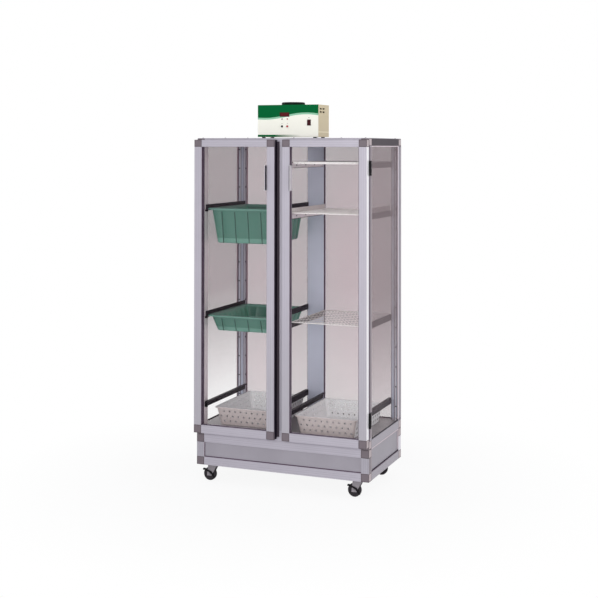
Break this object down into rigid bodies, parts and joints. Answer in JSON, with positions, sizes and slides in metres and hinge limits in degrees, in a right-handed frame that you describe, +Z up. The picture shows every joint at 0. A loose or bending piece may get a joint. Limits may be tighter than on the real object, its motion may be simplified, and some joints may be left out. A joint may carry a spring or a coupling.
{
  "type": "instrument drying cabinet",
  "caption": "Tall two-door drying cabinet for instruments, with clear walls, sliding baskets and racks, a warm air base on casters and a control unit on top.",
  "frame": {"origin": "centre of the footprint on the floor, under the middle of the bounding box", "axes": "+X the cabinet's right seen from the front, -Y its front, +Z up"},
  "size_m": [0.922, 0.559, 1.883],
  "materials": {
    "frame_aluminium": "satin anodised",
    "corner_plastic": "moulded",
    "clear_acrylic": "smoky clear",
    "black_rubber": "matt",
    "dark_rail": "matt",
    "panel_paint": "satin",
    "column_paint": "satin",
    "steel_sheet": "brushed",
    "silver_rail": "satin",
    "green_basket": "moulded, translucent",
    "white_plastic": "moulded",
    "unit_green": "satin",
    "unit_beige": "satin",
    "display_red": "gloss",
    "black_plastic": "moulded",
    "red_plastic": "gloss",
    "zinc_steel": "zinc plated",
    "wheel_grey": "matt",
    "filter_mat": "felt"
  },
  "bodies": {
    "cabinet": {"air_filter": "filter_mat", "base_frame": "frame_aluminium", "base_panels": "panel_paint", "black_rails": "dark_rail", "blower": "black_plastic", "cabinet_frame": "frame_aluminium", "caster_plates": "zinc_steel", "centre_column": "column_paint", "chamber_floor": "steel_sheet", "clear_walls": "clear_acrylic", "corner_blocks": "corner_plastic", "door_catches": "black_rubber", "heater": "zinc_steel", "hinge_frame_leaves": "black_plastic", "intake_cap": "black_plastic", "power_inlet": "black_plastic", "rail_caps": "black_plastic", "roof": "frame_aluminium", "silver_rails": "silver_rail", "top_side_rails": "dark_rail", "unit_board": "black_plastic", "unit_cover": "unit_beige", "unit_display": "display_red", "unit_fascia": "unit_green", "unit_feet": "black_rubber", "unit_tray": "unit_beige", "wall_gaskets": "black_rubber"},
    "left_door": {"left_door_corner_blocks": "corner_plastic", "left_door_frame": "frame_aluminium", "left_door_gasket": "black_rubber", "left_door_hinge_leaves": "black_plastic", "left_door_pull": "frame_aluminium", "left_door_window": "clear_acrylic"},
    "right_door": {"right_door_corner_blocks": "corner_plastic", "right_door_frame": "frame_aluminium", "right_door_gasket": "black_rubber", "right_door_hinge_leaves": "black_plastic", "right_door_pull": "frame_aluminium", "right_door_window": "clear_acrylic"},
    "deep_basket": {"deep_basket": "green_basket"},
    "shallow_basket": {"shallow_basket": "green_basket"},
    "left_tray": {"left_tray": "white_plastic"},
    "right_tray": {"right_tray": "white_plastic"},
    "hanging_rack": {"hanging_rack": "white_plastic"},
    "upper_rack": {"upper_rack": "white_plastic"},
    "lower_rack": {"lower_rack": "white_plastic"},
    "mode_button": {"mode_button": "black_plastic"},
    "start_button": {"start_button": "red_plastic"},
    "mains_rocker": {"mains_rocker": "display_red"},
    "blower_impeller": {"blower_impeller": "black_plastic"},
    "front_left_fork": {"front_left_fork": "zinc_steel"},
    "front_left_wheel": {"front_left_wheel": "wheel_grey"},
    "front_left_brake": {"front_left_brake": "black_plastic"},
    "front_right_fork": {"front_right_fork": "zinc_steel"},
    "front_right_wheel": {"front_right_wheel": "wheel_grey"},
    "front_right_brake": {"front_right_brake": "black_plastic"},
    "rear_left_fork": {"rear_left_fork": "zinc_steel"},
    "rear_left_wheel": {"rear_left_wheel": "wheel_grey"},
    "rear_right_fork": {"rear_right_fork": "zinc_steel"},
    "rear_right_wheel": {"rear_right_wheel": "wheel_grey"}
  },
  "joints": [
    {"name": "left_door_hinge", "type": "hinge", "parent": "cabinet", "child": "left_door", "pos_m": [-0.456, -0.234, 0.9685], "axis": [0, 0, -1], "range_deg": [0, 180]},
    {"name": "right_door_hinge", "type": "hinge", "parent": "cabinet", "child": "right_door", "pos_m": [0.456, -0.234, 0.9685], "axis": [0, 0, 1], "range_deg": [0, 180]},
    {"name": "deep_basket_slide", "type": "slide", "parent": "cabinet", "child": "deep_basket", "axis": [0, -1, 0], "range_m": [0, 0.236]},
    {"name": "shallow_basket_slide", "type": "slide", "parent": "cabinet", "child": "shallow_basket", "axis": [0, -1, 0], "range_m": [0, 0.236]},
    {"name": "left_tray_slide", "type": "slide", "parent": "cabinet", "child": "left_tray", "axis": [0, -1, 0], "range_m": [0, 0.236]},
    {"name": "hanging_rack_slide", "type": "slide", "parent": "cabinet", "child": "hanging_rack", "axis": [0, -1, 0], "range_m": [0, 0.236]},
    {"name": "upper_rack_slide", "type": "slide", "parent": "cabinet", "child": "upper_rack", "axis": [0, -1, 0], "range_m": [0, 0.236]},
    {"name": "lower_rack_slide", "type": "slide", "parent": "cabinet", "child": "lower_rack", "axis": [0, -1, 0], "range_m": [0, 0.236]},
    {"name": "right_tray_slide", "type": "slide", "parent": "cabinet", "child": "right_tray", "axis": [0, -1, 0], "range_m": [0, 0.236]},
    {"name": "front_left_swivel", "type": "hinge", "parent": "cabinet", "child": "front_left_fork", "pos_m": [-0.381, -0.1825, 0.076], "axis": [0, 0, 1], "continuous": true},
    {"name": "front_left_roll", "type": "hinge", "parent": "front_left_fork", "child": "front_left_wheel", "pos_m": [-0.399, -0.1825, 0.0325], "axis": [0, 1, 0], "continuous": true},
    {"name": "front_left_brake_lever", "type": "hinge", "parent": "front_left_fork", "child": "front_left_brake", "pos_m": [-0.388, -0.1995, 0.043], "axis": [0, 1, 0], "range_deg": [0, 12]},
    {"name": "front_right_swivel", "type": "hinge", "parent": "cabinet", "child": "front_right_fork", "pos_m": [0.381, -0.1825, 0.076], "axis": [0, 0, 1], "continuous": true},
    {"name": "front_right_roll", "type": "hinge", "parent": "front_right_fork", "child": "front_right_wheel", "pos_m": [0.363, -0.1825, 0.0325], "axis": [0, 1, 0], "continuous": true},
    {"name": "front_right_brake_lever", "type": "hinge", "parent": "front_right_fork", "child": "front_right_brake", "pos_m": [0.374, -0.1995, 0.043], "axis": [0, 1, 0], "range_deg": [0, 12]},
    {"name": "rear_left_swivel", "type": "hinge", "parent": "cabinet", "child": "rear_left_fork", "pos_m": [-0.381, 0.2295, 0.076], "axis": [0, 0, 1], "continuous": true},
    {"name": "rear_left_roll", "type": "hinge", "parent": "rear_left_fork", "child": "rear_left_wheel", "pos_m": [-0.399, 0.2295, 0.0325], "axis": [0, 1, 0], "continuous": true},
    {"name": "rear_right_swivel", "type": "hinge", "parent": "cabinet", "child": "rear_right_fork", "pos_m": [0.381, 0.2295, 0.076], "axis": [0, 0, 1], "continuous": true},
    {"name": "rear_right_roll", "type": "hinge", "parent": "rear_right_fork", "child": "rear_right_wheel", "pos_m": [0.363, 0.2295, 0.0325], "axis": [0, 1, 0], "continuous": true},
    {"name": "mode_button_press", "type": "slide", "parent": "cabinet", "child": "mode_button", "axis": [0, 1, 0], "range_m": [0, 0.002], "stiffness_N_per_m": 200},
    {"name": "start_button_press", "type": "slide", "parent": "cabinet", "child": "start_button", "axis": [0, 1, 0], "range_m": [0, 0.002], "stiffness_N_per_m": 200},
    {"name": "mains_rocker_tilt", "type": "hinge", "parent": "cabinet", "child": "mains_rocker", "pos_m": [0.112, -0.1395, 1.781], "axis": [1, 0, 0], "range_deg": [0, 10]},
    {"name": "blower_spin", "type": "hinge", "parent": "cabinet", "child": "blower_impeller", "pos_m": [-0.19, 0.04, 0.13], "axis": [0, 0, 1], "continuous": true}
  ],
  "couplings": [
    {"joint": "deep_basket_slide", "follows": "left_door_hinge", "m_per_rad": 0.075},
    {"joint": "shallow_basket_slide", "follows": "left_door_hinge", "m_per_rad": 0.075},
    {"joint": "left_tray_slide", "follows": "left_door_hinge", "m_per_rad": 0.075},
    {"joint": "hanging_rack_slide", "follows": "right_door_hinge", "m_per_rad": 0.075},
    {"joint": "upper_rack_slide", "follows": "right_door_hinge", "m_per_rad": 0.075},
    {"joint": "lower_rack_slide", "follows": "right_door_hinge", "m_per_rad": 0.075},
    {"joint": "right_tray_slide", "follows": "right_door_hinge", "m_per_rad": 0.075}
  ]
}
